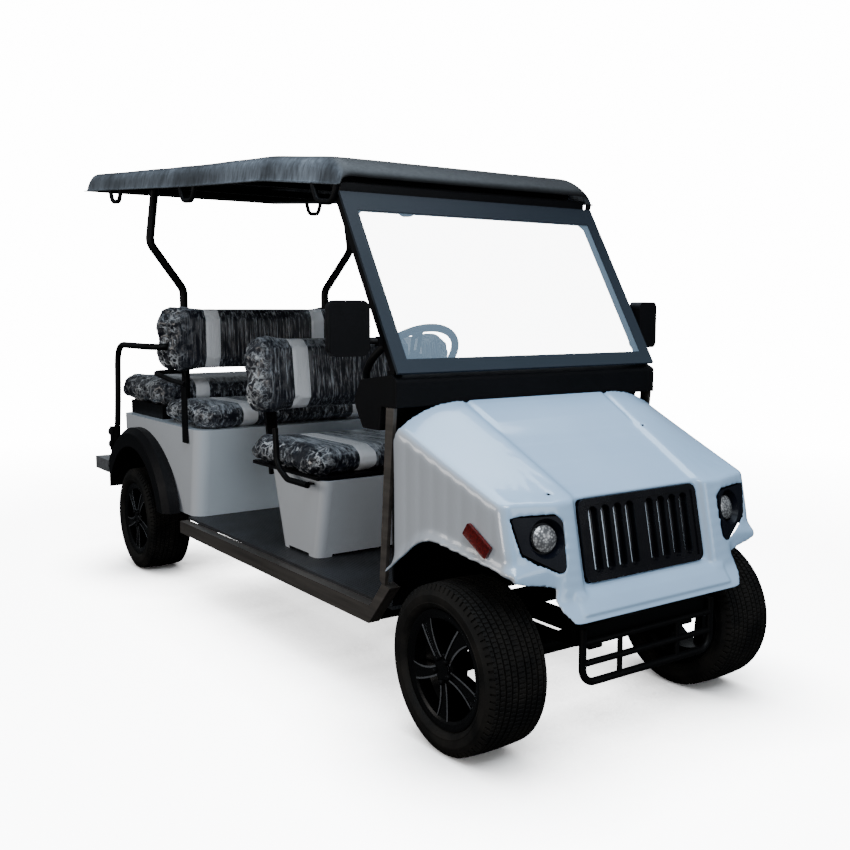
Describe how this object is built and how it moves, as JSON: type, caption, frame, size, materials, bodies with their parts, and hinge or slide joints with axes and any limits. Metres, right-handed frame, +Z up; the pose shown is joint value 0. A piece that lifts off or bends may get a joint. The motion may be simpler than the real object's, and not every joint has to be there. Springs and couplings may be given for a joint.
{
  "type": "golf cart",
  "caption": "Open electric golf cart with two forward-facing bench rows, a rear-facing bench over a footstep, steered front wheels, a windscreen and a hard canopy.",
  "frame": {"origin": "on the ground, in the middle of the cart's length and width", "axes": "+Z up, the nose points along -Y, the driver's side is -X"},
  "size_m": [1.389, 3.72, 1.9415],
  "materials": {
    "white_gelcoat": "gloss",
    "black_gloss": "gloss",
    "black_plastic": "satin",
    "roof_black": "satin",
    "slate_border": "satin",
    "clear_glass": "clear",
    "mirror": "polished",
    "black_steel": "satin",
    "bronze_rail": "brushed",
    "rubber_mat": "matte",
    "tyre": "matte",
    "alloy_black": "gloss with machined edges",
    "seat_vinyl": "satin, under clear film",
    "lamp_clear": "clear",
    "lamp_black": "gloss",
    "red_lens": "gloss",
    "battery_case": "matte",
    "plate_metal": "embossed"
  },
  "bodies": {
    "chassis": {"chassis_frame": "black_steel", "front_guard": "black_steel", "front_cowl": "white_gelcoat", "grille": "black_gloss", "headlamp_bezels": "black_gloss", "headlamp_lenses": "lamp_clear", "side_markers": "red_lens", "dash_cowl": "black_plastic", "windscreen_glass": "clear_glass", "windscreen_border": "slate_border", "front_posts": "black_steel", "roof_shell": "roof_black", "roof_frame": "black_steel", "grab_handles": "black_plastic", "rear_posts": "black_steel", "mirror_housings": "black_plastic", "mirror_glasses": "mirror", "steering_column": "black_plastic", "pedals": "black_steel", "floor_pan": "rubber_mat", "side_rails": "bronze_rail", "front_seat_base": "white_gelcoat", "battery_pack": "battery_case", "front_seat_back": "seat_vinyl", "front_seat_frame": "black_steel", "rear_body": "white_gelcoat", "rear_arch_flares": "black_plastic", "mid_seat_cushion": "seat_vinyl", "rear_backrests": "seat_vinyl", "rear_seat_cushion": "seat_vinyl", "rear_seat_frame": "black_steel", "rear_rail_right": "black_steel", "rear_rail_left": "black_steel", "rear_step": "plate_metal", "tail_lamps": "lamp_black", "front_axle": "black_steel", "rear_axle": "black_steel", "leaf_springs": "black_steel"},
    "knuckle_right": {"knuckle_right": "black_steel"},
    "knuckle_left": {"knuckle_left": "black_steel"},
    "tie_rod": {"tie_rod": "black_steel"},
    "steering_wheel": {"steering_wheel": "black_plastic"},
    "seat_lid": {"front_seat_lid": "black_plastic", "front_seat_cushion": "seat_vinyl"},
    "wheel_front_right": {"tyre_front_right": "tyre", "rim_front_right": "alloy_black"},
    "wheel_front_left": {"tyre_front_left": "tyre", "rim_front_left": "alloy_black"},
    "wheel_rear_right": {"tyre_rear_right": "tyre", "rim_rear_right": "alloy_black"},
    "wheel_rear_left": {"tyre_rear_left": "tyre", "rim_rear_left": "alloy_black"}
  },
  "joints": [
    {"name": "steer_right", "type": "hinge", "parent": "chassis", "child": "knuckle_right", "pos_m": [-0.384, -1.56, 0.244], "axis": [0, 0, 1], "range_deg": [-28, 28]},
    {"name": "steer_left", "type": "hinge", "parent": "chassis", "child": "knuckle_left", "pos_m": [0.384, -1.56, 0.244], "axis": [0, 0, 1], "range_deg": [-28, 28]},
    {"name": "steering_wheel_turn", "type": "hinge", "parent": "chassis", "child": "steering_wheel", "pos_m": [-0.255, -0.96, 1.072], "axis": [0, 0.6997, 0.7145], "range_deg": [-280, 280]},
    {"name": "tie_rod_pin", "type": "hinge", "parent": "knuckle_right", "child": "tie_rod", "pos_m": [-0.384, -1.45, 0.196], "axis": [0, 0, 1], "range_deg": [-28, 28]},
    {"name": "seat_lift", "type": "hinge", "parent": "chassis", "child": "seat_lid", "pos_m": [0, -0.193, 0.64], "axis": [-1, 0, 0], "range_deg": [0, 38]},
    {"name": "spin_front_right", "type": "hinge", "parent": "knuckle_right", "child": "wheel_front_right", "pos_m": [-0.4745, -1.56, 0.244], "axis": [1, 0, 0], "continuous": true},
    {"name": "spin_front_left", "type": "hinge", "parent": "knuckle_left", "child": "wheel_front_left", "pos_m": [0.4745, -1.56, 0.244], "axis": [1, 0, 0], "continuous": true},
    {"name": "spin_rear_right", "type": "hinge", "parent": "chassis", "child": "wheel_rear_right", "pos_m": [-0.4745, 0.96, 0.244], "axis": [1, 0, 0], "continuous": true},
    {"name": "spin_rear_left", "type": "hinge", "parent": "chassis", "child": "wheel_rear_left", "pos_m": [0.4745, 0.96, 0.244], "axis": [1, 0, 0], "continuous": true}
  ],
  "couplings": [
    {"joint": "steer_left", "follows": "steer_right", "ratio": 1},
    {"joint": "steering_wheel_turn", "follows": "steer_right", "ratio": 10},
    {"joint": "tie_rod_pin", "follows": "steer_right", "ratio": -1}
  ]
}
